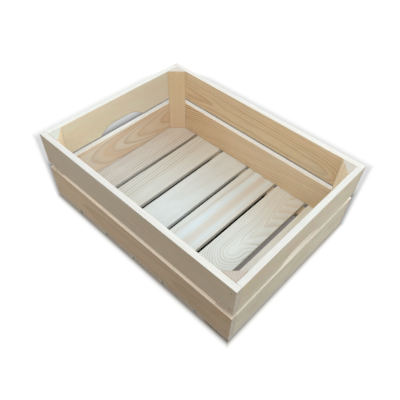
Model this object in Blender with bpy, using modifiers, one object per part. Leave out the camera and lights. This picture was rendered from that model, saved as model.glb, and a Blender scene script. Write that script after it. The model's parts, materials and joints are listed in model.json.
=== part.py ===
"""Open-topped wooden fruit crate, nailed together from planed softwood boards.

Frame: metres, +Z up, X along the crate, Y across it, origin on the floor under
the middle of the crate. Two runners lie on the floor, six slats cross them, four
side boards and four end boards stand on the slats, and a three-cornered post
fills each inside corner. Every nail is a separate pin in its own hole.
"""

from math import acos, cos, pi, radians, sin, sqrt

import bmesh
import bpy
from mathutils import Matrix, Vector

# ---------------------------------------------------------------- dimensions
MM = 0.001

LENGTH = 400.0 * MM            # outside, along X
WIDTH = 297.0 * MM             # outside, along Y
BOARD_T = 9.5 * MM             # every board and slat
LOWER_BOARD_W = 60.2 * MM      # height of the lower course
SIDE_GAP = 10.6 * MM           # air gap between the two courses
UPPER_BOARD_W = 58.0 * MM      # height of the upper course

RUNNER_T = 10.0 * MM           # height of a runner
RUNNER_W = 22.5 * MM
RUNNER_INSET = 8.5 * MM        # from the crate's outside, on its side and at its ends

SLAT_WIDTHS = [60.5 * MM, 60.0 * MM, 59.5 * MM, 60.0 * MM, 60.5 * MM, 61.5 * MM]
SLAT_GAPS = [7.5 * MM, 8.5 * MM, 7.0 * MM, 7.0 * MM, 8.0 * MM]

POST_LEG = 23.5 * MM           # short sides of a corner post's triangle

HAND_HOLE_CHORD = 95.0 * MM    # the arch cut into the lower edge of an upper end board
HAND_HOLE_RISE = 13.8 * MM
HAND_HOLE_FLAT = 28.0 * MM     # straight crown between the arch's two round shoulders

EDGE = 0.6 * MM                # chamfer that stands for the eased edges
FIT = 0.3 * MM                 # gap at every face where two pieces meet

NAIL_SHAFT_R = 0.7 * MM
NAIL_HEAD_R = 1.1 * MM
NAIL_HEAD_H = 0.9 * MM
NAIL_SIDES = 10
NAIL_SINK = 0.2 * MM           # how far a head lies under the surface
SIDE_NAIL_L = 30.0 * MM
END_NAIL_L = 25.0 * MM
SLAT_NAIL_L = 30.0 * MM
RUNNER_NAIL_L = 17.5 * MM
SIDE_NAIL_FROM_END = 7.5 * MM  # lands in the end grain of the end board
END_NAIL_FROM_SIDE = 17.0 * MM # lands in the post
NAIL_FROM_TOP = 12.5 * MM
NAIL_FROM_BOTTOM = {"lower": 14.0 * MM, "upper": 8.5 * MM}

# Levels that follow from the sizes above
SLAT_TOP = RUNNER_T + BOARD_T
LOWER_TOP = SLAT_TOP + LOWER_BOARD_W
UPPER_BOTTOM = LOWER_TOP + SIDE_GAP
HEIGHT = UPPER_BOTTOM + UPPER_BOARD_W
HALF_L, HALF_W = LENGTH / 2, WIDTH / 2

assert abs(sum(SLAT_WIDTHS) + sum(SLAT_GAPS) - LENGTH) < 1e-9

# ---------------------------------------------------------------- clean scene
for old in list(bpy.data.objects):
    bpy.data.objects.remove(old, do_unlink=True)

scene = bpy.context.scene
parts = bpy.data.collections.new("apple_crate")
cutters = bpy.data.collections.new("cutters")
scene.collection.children.link(parts)
scene.collection.children.link(cutters)

assembly = bpy.data.objects.new("crate_assembly", None)
assembly.empty_display_type = "PLAIN_AXES"
parts.objects.link(assembly)


# ---------------------------------------------------------------- materials
def linear(channel):
    c = channel / 255.0
    return c / 12.92 if c <= 0.04045 else ((c + 0.055) / 1.055) ** 2.4


def material(name, rgb, roughness, metallic=0.0):
    mat = bpy.data.materials.new(name)
    mat.use_nodes = True
    shader = mat.node_tree.nodes["Principled BSDF"]
    shader.inputs["Base Color"].default_value = (*[linear(c) for c in rgb], 1.0)
    shader.inputs["Roughness"].default_value = roughness
    shader.inputs["Metallic"].default_value = metallic
    mat.diffuse_color = (*[linear(c) for c in rgb], 1.0)
    return mat


TAN = material("pine_tan", (201, 172, 134), 0.62)
HONEY = material("pine_honey", (203, 168, 126), 0.62)
PALE = material("pine_pale", (219, 203, 174), 0.62)
CREAM = material("pine_cream", (222, 214, 196), 0.65)
WHITE = material("pine_white", (224, 221, 211), 0.65)
POST = material("pine_post", (212, 186, 150), 0.66)
RUNNER = material("pine_runner", (206, 182, 148), 0.7)
STEEL = material("nail_steel", (104, 100, 92), 0.45, 1.0)


# ---------------------------------------------------------------- helpers
def finish(obj, name, mat):
    """Name an object, give it its material and put it in the crate's collection."""
    obj.name = name
    obj.data.name = name
    obj.data.materials.clear()
    obj.data.materials.append(mat)
    for owner in list(obj.users_collection):
        owner.objects.unlink(obj)
    parts.objects.link(obj)
    obj.parent = assembly
    return obj


def add_chamfer(obj):
    bevel = obj.modifiers.new("eased_edges", "BEVEL")
    bevel.width = EDGE
    bevel.segments = 1
    bevel.limit_method = "ANGLE"
    bevel.angle_limit = radians(30)


def cylinder(bm, start, direction, length, radius, sides):
    """Add a capped cylinder that runs from start along direction."""
    direction = Vector(direction).normalized()
    turn = Vector((0, 0, 1)).rotation_difference(direction).to_matrix().to_4x4()
    centre = Vector(start) + direction * (length / 2)
    bmesh.ops.create_cone(
        bm,
        cap_ends=True,
        segments=sides,
        radius1=radius,
        radius2=radius,
        depth=length,
        matrix=Matrix.Translation(centre) @ turn,
    )


def arch_prism(bm, x0, x1, base_z):
    """Add the hand hole's prism: a straight crown, and a shoulder arc on each side that meets the crown smoothly."""
    flat = HAND_HOLE_FLAT / 2
    reach = HAND_HOLE_CHORD / 2 - flat
    radius = (reach**2 + HAND_HOLE_RISE**2) / (2 * HAND_HOLE_RISE)
    centre_z = base_z + HAND_HOLE_RISE - radius
    # The arcs run on a little below the board's edge, so that the prism cuts right through it.
    last = acos((radius - HAND_HOLE_RISE - 2 * MM) / radius)
    turns = [last * i / 24 for i in range(25)]
    shoulder = [(flat + radius * sin(a), centre_z + radius * cos(a)) for a in turns]
    outline = shoulder[::-1] + [(-y, z) for y, z in shoulder]
    near = [bm.verts.new((x0, y, z)) for y, z in outline]
    far = [bm.verts.new((x1, y, z)) for y, z in outline]
    bm.faces.new(near)
    bm.faces.new(far[::-1])
    for i in range(len(outline)):
        j = (i + 1) % len(outline)
        bm.faces.new((near[j], near[i], far[i], far[j]))


def cut(obj, label, build):
    """Subtract the shape that build(bmesh) makes, kept as a wire object."""
    bm = bmesh.new()
    build(bm)
    bmesh.ops.recalc_face_normals(bm, faces=bm.faces[:])
    mesh = bpy.data.meshes.new(f"{obj.name}_{label}")
    bm.to_mesh(mesh)
    bm.free()
    tool = bpy.data.objects.new(f"{obj.name}_{label}", mesh)
    tool.hide_render = True
    tool.display_type = "WIRE"
    cutters.objects.link(tool)
    boolean = obj.modifiers.new(label, "BOOLEAN")
    boolean.operation = "DIFFERENCE"
    boolean.solver = "EXACT"
    boolean.object = tool
    return tool


def board(name, low, high, mat):
    """A sawn board between two corners, with eased edges."""
    low, high = Vector(low), Vector(high)
    bpy.ops.mesh.primitive_cube_add(size=1.0, location=(low + high) / 2)
    obj = bpy.context.active_object
    obj.scale = high - low
    bpy.ops.object.transform_apply(location=False, rotation=False, scale=True)
    finish(obj, name, mat)
    add_chamfer(obj)
    return obj


def nail_mesh(name, length):
    """A headed pin, turned about Z, with its head's top at the origin and its point down."""
    profile = [
        (0.0, 0.0),
        (NAIL_HEAD_R, 0.0),
        (NAIL_HEAD_R, -NAIL_HEAD_H),
        (NAIL_SHAFT_R, -NAIL_HEAD_H),
        (NAIL_SHAFT_R, -(length - 3 * NAIL_SHAFT_R)),
        (0.0, -length),
    ]
    outline = bpy.data.meshes.new(name + "_profile")
    outline.from_pydata(
        [(x, 0.0, z) for x, z in profile],
        [(i, i + 1) for i in range(len(profile) - 1)],
        [],
    )
    turned = bpy.data.objects.new(name + "_profile", outline)
    scene.collection.objects.link(turned)
    screw = turned.modifiers.new("turn", "SCREW")
    screw.axis = "Z"
    screw.angle = 2 * pi
    screw.steps = NAIL_SIDES
    screw.render_steps = NAIL_SIDES
    screw.use_merge_vertices = True
    screw.merge_threshold = 0.00001
    graph = bpy.context.evaluated_depsgraph_get()
    graph.update()
    mesh = bpy.data.meshes.new_from_object(turned.evaluated_get(graph))
    bpy.data.objects.remove(turned, do_unlink=True)
    bm = bmesh.new()
    bm.from_mesh(mesh)
    bmesh.ops.remove_doubles(bm, verts=bm.verts[:], dist=0.00001)
    bmesh.ops.recalc_face_normals(bm, faces=bm.faces[:])
    bm.to_mesh(mesh)
    bm.free()
    mesh.name = name
    mesh.materials.clear()
    mesh.materials.append(STEEL)
    mesh.shade_smooth()
    mesh.set_sharp_from_angle(angle=radians(35))
    return mesh


NAIL_MESHES = {
    "side": nail_mesh("side_nail", SIDE_NAIL_L),
    "end": nail_mesh("end_nail", END_NAIL_L),
    "slat": nail_mesh("slat_nail", SLAT_NAIL_L),
    "runner": nail_mesh("runner_nail", RUNNER_NAIL_L),
}
NAIL_LENGTHS = {
    "side": SIDE_NAIL_L,
    "end": END_NAIL_L,
    "slat": SLAT_NAIL_L,
    "runner": RUNNER_NAIL_L,
}
holes = {}      # board name -> list of (start, direction, length, radius)


def drive_nail(name, kind, surface_point, direction, through, into):
    """Drive a nail from a point on the surface of `through` into `into`.

    The outer pieces get a clearance hole for the head's full width, and the last
    piece a blind hole that is a little longer than the nail.
    """
    direction = Vector(direction)
    head = Vector(surface_point) + direction * NAIL_SINK
    obj = bpy.data.objects.new(name, NAIL_MESHES[kind])
    obj.location = head
    obj.rotation_mode = "QUATERNION"
    obj.rotation_quaternion = Vector((0, 0, -1)).rotation_difference(direction)
    parts.objects.link(obj)
    obj.parent = assembly
    length = NAIL_LENGTHS[kind]
    mouth = Vector(surface_point) - direction * MM
    for piece, thickness in through:
        holes.setdefault(piece, []).append(
            (mouth, direction, thickness + 2 * MM, NAIL_HEAD_R + FIT)
        )
        mouth = mouth + direction * thickness
    tip = head + direction * (length + 2 * FIT)
    start = Vector(surface_point) + direction * (
        sum(thickness for _, thickness in through) - MM
    )
    holes.setdefault(into, []).append(
        (start, direction, (tip - start).length, NAIL_SHAFT_R + FIT)
    )
    return obj


# ---------------------------------------------------------------- runners
for side, sign in (("front", -1), ("back", 1)):
    outer = sign * (HALF_W - RUNNER_INSET)
    inner = sign * (HALF_W - RUNNER_INSET - RUNNER_W)
    board(
        f"{side}_runner",
        (-HALF_L + RUNNER_INSET, min(outer, inner), 0.0),
        (HALF_L - RUNNER_INSET, max(outer, inner), RUNNER_T - FIT),
        RUNNER,
    )

# ---------------------------------------------------------------- floor slats
slat_materials = [CREAM, CREAM, WHITE, WHITE, WHITE, PALE]
slat_centres = []
x = -HALF_L
for number, slat_w in enumerate(SLAT_WIDTHS, start=1):
    board(
        f"floor_slat_{number}",
        (x, -HALF_W, RUNNER_T),
        (x + slat_w, HALF_W, SLAT_TOP),
        slat_materials[number - 1],
    )
    slat_centres.append(x + slat_w / 2)
    x += slat_w
    if number <= len(SLAT_GAPS):
        x += SLAT_GAPS[number - 1]

# ---------------------------------------------------------------- side boards
COURSES = {"lower": (SLAT_TOP + FIT, LOWER_TOP), "upper": (UPPER_BOTTOM, HEIGHT)}
for course, (z0, z1) in COURSES.items():
    for side, sign in (("front", -1), ("back", 1)):
        outer, inner = sign * HALF_W, sign * (HALF_W - BOARD_T)
        board(
            f"{side}_{course}_board",
            (-HALF_L, min(outer, inner), z0),
            (HALF_L, max(outer, inner), z1),
            HONEY if course == "lower" else TAN,
        )

# ---------------------------------------------------------------- end boards
END_BOARD_HALF = HALF_W - BOARD_T - FIT
for course, (z0, z1) in COURSES.items():
    for end, sign in (("left", -1), ("right", 1)):
        outer, inner = sign * HALF_L, sign * (HALF_L - BOARD_T)
        obj = board(
            f"{end}_end_{course}_board",
            (min(outer, inner), -END_BOARD_HALF, z0),
            (max(outer, inner), END_BOARD_HALF, z1),
            HONEY if course == "lower" else PALE,
        )
        if course == "upper":
            # The hand hole is a flat-topped arch, sawn out of the lower edge.
            x0, x1 = min(outer, inner) - 2 * MM, max(outer, inner) + 2 * MM
            cut(obj, "hand_hole", lambda bm: arch_prism(bm, x0, x1, z0))

# ---------------------------------------------------------------- corner posts
POST_H = HEIGHT - SLAT_TOP - FIT


def post_mesh():
    """A square bar sawn in two along its diagonal: right angle at the origin."""
    bm = bmesh.new()
    bmesh.ops.create_cube(bm, size=1.0)
    bmesh.ops.scale(bm, vec=(POST_LEG, POST_LEG, POST_H), verts=bm.verts[:])
    bmesh.ops.translate(
        bm, vec=(-POST_LEG / 2, -POST_LEG / 2, POST_H / 2), verts=bm.verts[:]
    )
    result = bmesh.ops.bisect_plane(
        bm,
        geom=bm.verts[:] + bm.edges[:] + bm.faces[:],
        plane_co=(-POST_LEG, 0.0, 0.0),
        plane_no=(-1 / sqrt(2), -1 / sqrt(2), 0.0),
        clear_outer=True,
        dist=0.000001,
    )
    rim = [e for e in bm.edges if e.is_boundary]
    bmesh.ops.edgeloop_fill(bm, edges=rim)
    bmesh.ops.recalc_face_normals(bm, faces=bm.faces[:])
    mesh = bpy.data.meshes.new("corner_post")
    bm.to_mesh(mesh)
    bm.free()
    return mesh


CORNERS = {
    "back_right": (1, 1, 0),
    "back_left": (-1, 1, 90),
    "front_left": (-1, -1, 180),
    "front_right": (1, -1, 270),
}
for corner, (sx, sy, turn) in CORNERS.items():
    obj = bpy.data.objects.new("post", post_mesh())
    parts.objects.link(obj)
    finish(obj, f"corner_post_{corner}", POST)
    obj.location = (
        sx * (HALF_L - BOARD_T - FIT),
        sy * (HALF_W - BOARD_T - FIT),
        SLAT_TOP + FIT,
    )
    obj.rotation_euler = (0.0, 0.0, radians(turn))
    add_chamfer(obj)

# ---------------------------------------------------------------- nails
# Side boards: two nails at each end, through the board into the end board's end grain.
for course, (z0, z1) in COURSES.items():
    for side, sy in (("front", -1), ("back", 1)):
        number = 0
        for end, sx in (("left", -1), ("right", 1)):
            for z in (z1 - NAIL_FROM_TOP, z0 + NAIL_FROM_BOTTOM[course]):
                number += 1
                drive_nail(
                    f"{side}_{course}_nail_{number}",
                    "side",
                    (sx * (HALF_L - SIDE_NAIL_FROM_END), sy * HALF_W, z),
                    (0, -sy, 0),
                    [(f"{side}_{course}_board", BOARD_T)],
                    f"{end}_end_{course}_board",
                )

# End boards: one nail at each end, through the board into the post.
for course, (z0, z1) in COURSES.items():
    for end, sx in (("left", -1), ("right", 1)):
        for number, (side, sy) in enumerate((("front", -1), ("back", 1)), start=1):
            drive_nail(
                f"{end}_end_{course}_nail_{number}",
                "end",
                (sx * HALF_L, sy * (HALF_W - END_NAIL_FROM_SIDE), (z0 + z1) / 2),
                (-sx, 0, 0),
                [(f"{end}_end_{course}_board", BOARD_T)],
                f"corner_post_{side}_{end}",
            )

# Slats: one nail at each end, up through the slat into the side board's lower edge.
for side, sy in (("front", -1), ("back", 1)):
    for number, centre in enumerate(slat_centres, start=1):
        drive_nail(
            f"slat_nail_{side}_{number}",
            "slat",
            (centre, sy * (HALF_W - BOARD_T / 2), RUNNER_T),
            (0, 0, 1),
            [(f"floor_slat_{number}", BOARD_T)],
            f"{side}_lower_board",
        )

# Runners: one nail near each end, up through the runner into the end slat.
for side, sy in (("front", -1), ("back", 1)):
    for end, number in (("left", 1), ("right", len(SLAT_WIDTHS))):
        drive_nail(
            f"runner_nail_{side}_{end}",
            "runner",
            (
                slat_centres[number - 1],
                sy * (HALF_W - RUNNER_INSET - RUNNER_W / 2),
                NAIL_SINK,
            ),
            (0, 0, 1),
            [(f"{side}_runner", RUNNER_T)],
            f"floor_slat_{number}",
        )

# Drill the nail holes.
for piece, drills in holes.items():

    def build(bm, drills=drills):
        for start, direction, length, radius in drills:
            cylinder(bm, start, direction, length, radius, NAIL_SIDES)

    cut(bpy.data.objects[piece], "nail_holes", build)
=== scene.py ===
"""The looks of the wooden fruit crate: boards, posts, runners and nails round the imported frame."""

import json
import math

import bmesh
import bpy
import numpy as np
from mathutils import Matrix, Vector

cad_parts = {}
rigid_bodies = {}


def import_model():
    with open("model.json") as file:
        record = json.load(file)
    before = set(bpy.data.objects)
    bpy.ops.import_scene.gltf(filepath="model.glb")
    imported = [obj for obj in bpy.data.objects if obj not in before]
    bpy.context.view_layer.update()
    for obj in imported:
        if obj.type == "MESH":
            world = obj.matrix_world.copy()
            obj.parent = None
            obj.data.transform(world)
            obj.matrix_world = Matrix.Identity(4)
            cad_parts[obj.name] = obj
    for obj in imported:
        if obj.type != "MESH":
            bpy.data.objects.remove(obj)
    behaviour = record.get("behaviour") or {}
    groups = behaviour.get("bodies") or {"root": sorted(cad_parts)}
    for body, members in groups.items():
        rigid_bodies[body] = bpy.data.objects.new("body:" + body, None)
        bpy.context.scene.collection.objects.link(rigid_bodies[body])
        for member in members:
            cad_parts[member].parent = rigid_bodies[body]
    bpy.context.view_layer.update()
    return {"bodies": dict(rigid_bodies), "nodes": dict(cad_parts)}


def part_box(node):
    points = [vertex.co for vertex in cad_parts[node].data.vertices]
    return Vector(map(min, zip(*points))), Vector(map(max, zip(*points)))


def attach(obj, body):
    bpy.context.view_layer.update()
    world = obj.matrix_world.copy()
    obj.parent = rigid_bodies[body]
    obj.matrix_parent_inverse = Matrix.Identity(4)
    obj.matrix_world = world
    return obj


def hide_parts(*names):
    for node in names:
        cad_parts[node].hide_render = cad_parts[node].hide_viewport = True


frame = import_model()
scene = bpy.context.scene
MM = 0.001

# ---------------------------------------------------------------- small maths


def smooth(t):
    t = np.clip(t, 0.0, 1.0)
    return t * t * (3.0 - 2.0 * t)


def bump(x, centre, width):
    """A smooth hill of height 1."""
    return np.exp(-(((x - centre) / width) ** 2))


def through(x, knots):
    """A smooth curve through (x, y) knots, level beyond its ends."""
    xs, ys = np.array(knots, float).T
    i = np.clip(np.searchsorted(xs, x) - 1, 0, len(xs) - 2)
    slope = np.gradient(ys, xs)
    h = xs[i + 1] - xs[i]
    t = np.clip((x - xs[i]) / h, 0, 1)
    t2, t3 = t * t, t * t * t
    return (
        (2 * t3 - 3 * t2 + 1) * ys[i]
        + (t3 - 2 * t2 + t) * h * slope[i]
        + (-2 * t3 + 3 * t2) * ys[i + 1]
        + (t3 - t2) * h * slope[i + 1]
    )


def rings(rho, marks, spacing):
    """The ring count at a distance rho from the pith. marks are distances where a ring ends; past them rings go on at the given spacing."""
    marks = np.array(sorted(marks), float)
    inside = np.interp(rho, marks, np.arange(len(marks), dtype=float))
    inside = np.where(rho < marks[0], (rho - marks[0]) / spacing, inside)
    return np.where(rho > marks[-1], len(marks) - 1 + (rho - marks[-1]) / spacing, inside)


def ripple(p, scale, seed, count=9):
    """Smooth noise from -1 to 1 at points p, from a fixed set of waves. scale holds the wavelength along each axis."""
    rng = np.random.default_rng(seed)
    total = np.zeros(len(p))
    for _ in range(count):
        direction = rng.normal(size=3)
        direction /= np.linalg.norm(direction)
        k = direction * rng.uniform(0.7, 1.7) * 2 * math.pi / np.asarray(scale, float)
        total += np.sin(p @ k + rng.uniform(0, 2 * math.pi))
    return np.clip(total / math.sqrt(count) * 0.8, -1.6, 1.6)


# ---------------------------------------------------------------- materials


class Tree:
    """A short way to write a node material."""

    def __init__(self, name):
        self.mat = bpy.data.materials.new(name)
        self.mat.use_nodes = True
        self.nt = self.mat.node_tree
        self.nt.nodes.clear()
        self.out = self.add("ShaderNodeOutputMaterial")
        self.shader = self.add("ShaderNodeBsdfPrincipled")
        self.nt.links.new(self.shader.outputs[0], self.out.inputs["Surface"])

    def add(self, kind, **props):
        node = self.nt.nodes.new(kind)
        for key, value in props.items():
            setattr(node, key, value)
        return node

    def put(self, value, socket):
        if isinstance(value, bpy.types.NodeSocket):
            self.nt.links.new(value, socket)
        else:
            socket.default_value = value

    def math(self, operation, a, b=None, c=None, clamp=False):
        node = self.add("ShaderNodeMath", operation=operation, use_clamp=clamp)
        for value, socket in zip((a, b, c), node.inputs):
            if value is not None:
                self.put(value, socket)
        return node.outputs[0]

    def scaled(self, vector, scale):
        node = self.add("ShaderNodeVectorMath", operation="MULTIPLY")
        self.put(vector, node.inputs[0])
        node.inputs[1].default_value = scale
        return node.outputs[0]

    def noise(self, vector, detail=2.0, rough=0.5, w=None, distortion=0.0):
        node = self.add(
            "ShaderNodeTexNoise", noise_dimensions="3D" if w is None else "4D"
        )
        self.put(vector, node.inputs["Vector"])
        if w is not None:
            node.inputs["W"].default_value = w
        node.inputs["Scale"].default_value = 1.0
        node.inputs["Detail"].default_value = detail
        node.inputs["Roughness"].default_value = rough
        node.inputs["Distortion"].default_value = distortion
        return node.outputs["Fac"]

    def ramp(self, value, stops, interpolation="LINEAR"):
        node = self.add("ShaderNodeValToRGB")
        band = node.color_ramp
        band.interpolation = interpolation
        while len(band.elements) < len(stops):
            band.elements.new(0.5)
        for element, (at, colour) in zip(band.elements, stops):
            element.position = at
            element.color = (
                (*colour, 1.0) if hasattr(colour, "__len__") else (colour,) * 3 + (1.0,)
            )
        self.put(value, node.inputs[0])
        return node.outputs[0]

    def span(self, value, from_lo, from_hi, to_lo=0.0, to_hi=1.0, soft=False):
        node = self.add(
            "ShaderNodeMapRange",
            interpolation_type="SMOOTHSTEP" if soft else "LINEAR",
        )
        self.put(value, node.inputs["Value"])
        for key, number in zip(
            ("From Min", "From Max", "To Min", "To Max"),
            (from_lo, from_hi, to_lo, to_hi),
        ):
            node.inputs[key].default_value = number
        return node.outputs[0]

    def mix(self, factor, a, b, blend="MIX"):
        node = self.add("ShaderNodeMix", data_type="RGBA", blend_type=blend)
        self.put(factor, node.inputs[0])
        for value, socket in ((a, node.inputs[6]), (b, node.inputs[7])):
            self.put(
                value if isinstance(value, bpy.types.NodeSocket) else (*value, 1.0),
                socket,
            )
        return node.outputs[2]

    def attribute(self, name):
        node = self.add("ShaderNodeAttribute", attribute_name=name)
        return node


def pine(
    name,
    early,
    late,
    seed,
    contrast=0.6,
    sway=0.35,
    shiver=0.10,
    fibre=0.10,
    cloud=0.35,
    warm=(0.74, 0.50, 0.30),
    pale=(0.86, 0.84, 0.80),
    rim=(0.80, 0.80, 0.765),
    rim_share=0.88,
    end=(0.80, 0.69, 0.56),
    colour_and_light_tints=((1.0, 1.0, 1.0), (1.0, 1.0, 1.0)),
    reach=(105.0, 235.0),
    wide=0.0,
    burn=(0.17, 0.125, 0.09),
    mottle=0.0,
):
    """Raw planed pine. The mesh says where each point lies in the log: ring counts the growth rings, log is the place along and across the fibres in millimetres, tone is a broad shift to warmer or paler wood."""
    t = Tree(name)
    log = t.attribute("log").outputs["Vector"]
    ring = t.attribute("ring").outputs["Fac"]
    tone = t.attribute("tone").outputs["Fac"]
    ends = t.attribute("endgrain").outputs["Fac"]
    arris = t.attribute("arris").outputs["Fac"]
    top = t.attribute("toprim").outputs["Fac"]
    burnt = t.attribute("burnt").outputs["Fac"]
    lines = t.attribute("lines").outputs["Fac"]

    # The ring count, with a slow sway and a fine shiver along the fibres.
    slow = t.noise(t.scaled(log, (1 / 80, 1 / 26, 1 / 26)), 2.0, 0.45, w=seed)
    fast = t.noise(t.scaled(log, (1 / 22, 1 / 5, 1 / 5)), 3.0, 0.55, w=seed + 3.1)
    count = t.math("MULTIPLY_ADD", t.math("SUBTRACT", slow, 0.5), 2 * sway, ring)
    count = t.math("MULTIPLY_ADD", t.math("SUBTRACT", fast, 0.5), 2 * shiver, count)
    part = t.math("FRACT", count)
    whole = t.math("FLOOR", count)
    own = t.add("ShaderNodeTexWhiteNoise", noise_dimensions="1D")
    t.put(t.math("ADD", whole, seed * 7.0), own.inputs["W"])
    own = own.outputs["Value"]

    # Pale early wood darkens slowly to the late wood, which ends abruptly.
    band = t.ramp(
        part,
        [
            (0.0, 0.30),
            (0.05, 0.04),
            (0.30 - 0.15 * wide, 0.0),
            (0.58 - 0.28 * wide, 0.16),
            (0.78 - 0.30 * wide, 0.55),
            (0.90 - 0.22 * wide, 1.0),
            (0.965 - 0.03 * wide, 0.92),
            (1.0, 0.34),
        ],
    )
    band = t.math("MULTIPLY", band, t.span(own, 0, 1, 0.45, 1.0))
    band = t.math("MULTIPLY", band, lines)

    # Fibres, short resin flecks and slow clouds of colour.
    fibres = t.noise(t.scaled(log, (1 / 34, 1 / 0.8, 1 / 0.8)), 4.0, 0.62, w=seed + 9)
    streaks = t.noise(t.scaled(log, (1 / 70, 1 / 4.5, 1 / 4.5)), 3.0, 0.5, w=seed + 5)
    flecks = t.noise(t.scaled(log, (1 / 5, 1 / 0.4, 1 / 0.4)), 2.0, 0.5, w=seed + 12)
    flecks = t.span(flecks, 0.66, 0.76, 0.0, 1.0, soft=True)
    clouds = t.noise(t.scaled(log, (1 / 110, 1 / 30, 1 / 30)), 3.0, 0.5, w=seed + 20)

    colour = t.mix(t.math("MULTIPLY", band, contrast), early, late)
    colour = t.mix(
        t.math("MULTIPLY", t.math("MAXIMUM", tone, 0.0), 1.0, clamp=True), colour, warm
    )
    colour = t.mix(
        t.math("MULTIPLY", t.math("MAXIMUM", t.math("MULTIPLY", tone, -1.0), 0.0), 1.0, clamp=True),
        colour,
        pale,
    )
    colour = t.mix(
        t.span(clouds, 0.35, 0.75, 0.0, cloud * 0.45, soft=True), colour, warm
    )
    colour = t.mix(
        t.span(clouds, 0.45, 0.2, 0.0, cloud * 0.6, soft=True), colour, pale
    )

    # Painted light and shade, partly also the wood's own colour: the colour is tinted from one end of the piece to the
    # other.
    split = t.add("ShaderNodeSeparateXYZ")
    t.put(log, split.inputs[0])
    drift = t.mix(t.span(split.outputs[0], *reach), *colour_and_light_tints)
    colour = t.mix(1.0, colour, drift, "MULTIPLY")

    # Weathered faces are mottled with faint pink and green.
    if mottle:
        blotches = t.noise(t.scaled(log, (1 / 16, 1 / 5, 1 / 5)), 3.0, 0.6, w=seed + 40)
        hues = t.noise(t.scaled(log, (1 / 24, 1 / 8, 1 / 8)), 2.0, 0.5, w=seed + 44)
        hue = t.mix(t.span(hues, 0.35, 0.65), (0.95, 1.03, 0.97), (1.05, 0.98, 1.0))
        colour = t.mix(mottle, colour, hue, "MULTIPLY")
        dark = t.span(blotches, 0.35, 0.7, 0.0, 0.35 * mottle)
        colour = t.mix(dark, colour, tuple(0.72 * c for c in early))

    # Painted highlight: the top edge is painted paler, as if the light falls on it from above. The arrises are freshly
    # planed, so they are paler.
    colour = t.mix(t.math("MULTIPLY", top, rim_share), colour, rim)
    colour = t.mix(
        t.math("MULTIPLY", t.math("MULTIPLY", arris, arris), 0.25), colour, pale
    )

    # End grain drinks more light, and shows the pores instead of the fibres.
    pores = t.noise(t.scaled(log, (1 / 3, 1 / 0.55, 1 / 0.55)), 3.0, 0.6, w=seed + 31)
    end_colour = t.mix(t.math("MULTIPLY", band, 0.75), end, tuple(0.62 * c for c in end))
    end_colour = t.mix(t.span(pores, 0.3, 0.75, 0.0, 0.45), end_colour, (0.50, 0.38, 0.27))
    colour = t.mix(ends, colour, end_colour)
    # This mask mixes in painted shade on the slats' sides and along the arch edges, and marks such as the streak on
    # slat 4.
    colour = t.mix(burnt, colour, burn)

    shade = t.math("MULTIPLY_ADD", t.math("SUBTRACT", fibres, 0.5), fibre * 2.0, 1.0)
    shade = t.math(
        "MULTIPLY_ADD", t.math("SUBTRACT", streaks, 0.5), fibre * 0.9, shade
    )
    shade = t.math("MULTIPLY_ADD", flecks, -0.16, shade)
    grey = t.add("ShaderNodeCombineColor")
    for socket in grey.inputs:
        t.put(shade, socket)
    colour = t.mix(1.0, colour, grey.outputs[0], "MULTIPLY")
    t.put(colour, t.shader.inputs["Base Color"])

    rough = t.math("MULTIPLY_ADD", band, -0.10, 0.66)
    rough = t.math("MULTIPLY_ADD", t.math("SUBTRACT", fibres, 0.5), 0.22, rough)
    rough = t.math("MULTIPLY_ADD", ends, 0.16, rough, clamp=True)
    t.put(rough, t.shader.inputs["Roughness"])
    t.shader.inputs["Specular IOR Level"].default_value = 0.32
    t.shader.inputs["IOR"].default_value = 1.45

    height = t.math("MULTIPLY", band, 0.5)
    height = t.math("MULTIPLY_ADD", fibres, 0.8, height)
    height = t.math("MULTIPLY_ADD", flecks, -0.5, height)
    height = t.math("MULTIPLY_ADD", t.math("MULTIPLY", ends, pores), 2.2, height)
    relief = t.add("ShaderNodeBump")
    relief.inputs["Strength"].default_value = 0.45
    relief.inputs["Distance"].default_value = 0.00018
    t.put(height, relief.inputs["Height"])
    t.put(relief.outputs[0], t.shader.inputs["Normal"])
    return t.mat


def steel(name):
    t = Tree(name)
    place = t.add("ShaderNodeTexCoord").outputs["Object"]
    worn = t.noise(t.scaled(place, (900, 900, 900)), 3.0, 0.6)
    marks = t.noise(t.scaled(place, (2600, 2600, 2600)), 2.0, 0.5)
    colour = t.mix(
        t.span(worn, 0.35, 0.7), (0.20, 0.19, 0.18), (0.36, 0.34, 0.32)
    )
    colour = t.mix(t.span(marks, 0.6, 0.75, 0, 0.5), colour, (0.16, 0.09, 0.05))
    t.put(colour, t.shader.inputs["Base Color"])
    t.shader.inputs["Metallic"].default_value = 1.0
    t.put(t.span(worn, 0.3, 0.7, 0.38, 0.6), t.shader.inputs["Roughness"])
    relief = t.add("ShaderNodeBump")
    relief.inputs["Strength"].default_value = 0.4
    relief.inputs["Distance"].default_value = 0.00005
    t.put(marks, relief.inputs["Height"])
    t.put(relief.outputs[0], t.shader.inputs["Normal"])
    return t.mat


# ---------------------------------------------------------------- pieces


def mesh_object(name, points, faces, attributes, material):
    mesh = bpy.data.meshes.new(name)
    points = np.asarray(points, np.float32) * MM
    mesh.from_pydata(points.tolist(), [], faces)
    mesh.update()
    for key, values in attributes.items():
        values = np.asarray(values, np.float32)
        kind = "FLOAT_VECTOR" if values.ndim == 2 else "FLOAT"
        layer = mesh.attributes.new(key, kind, "POINT")
        layer.data.foreach_set(
            "vector" if values.ndim == 2 else "value", values.ravel()
        )
    mesh.shade_smooth()
    mesh.materials.append(material)
    piece = bpy.data.objects.new(name, mesh)
    scene.collection.objects.link(piece)
    return piece


def place(piece, node, slot):
    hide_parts(node)
    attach(piece, BODY)
    return piece


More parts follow.
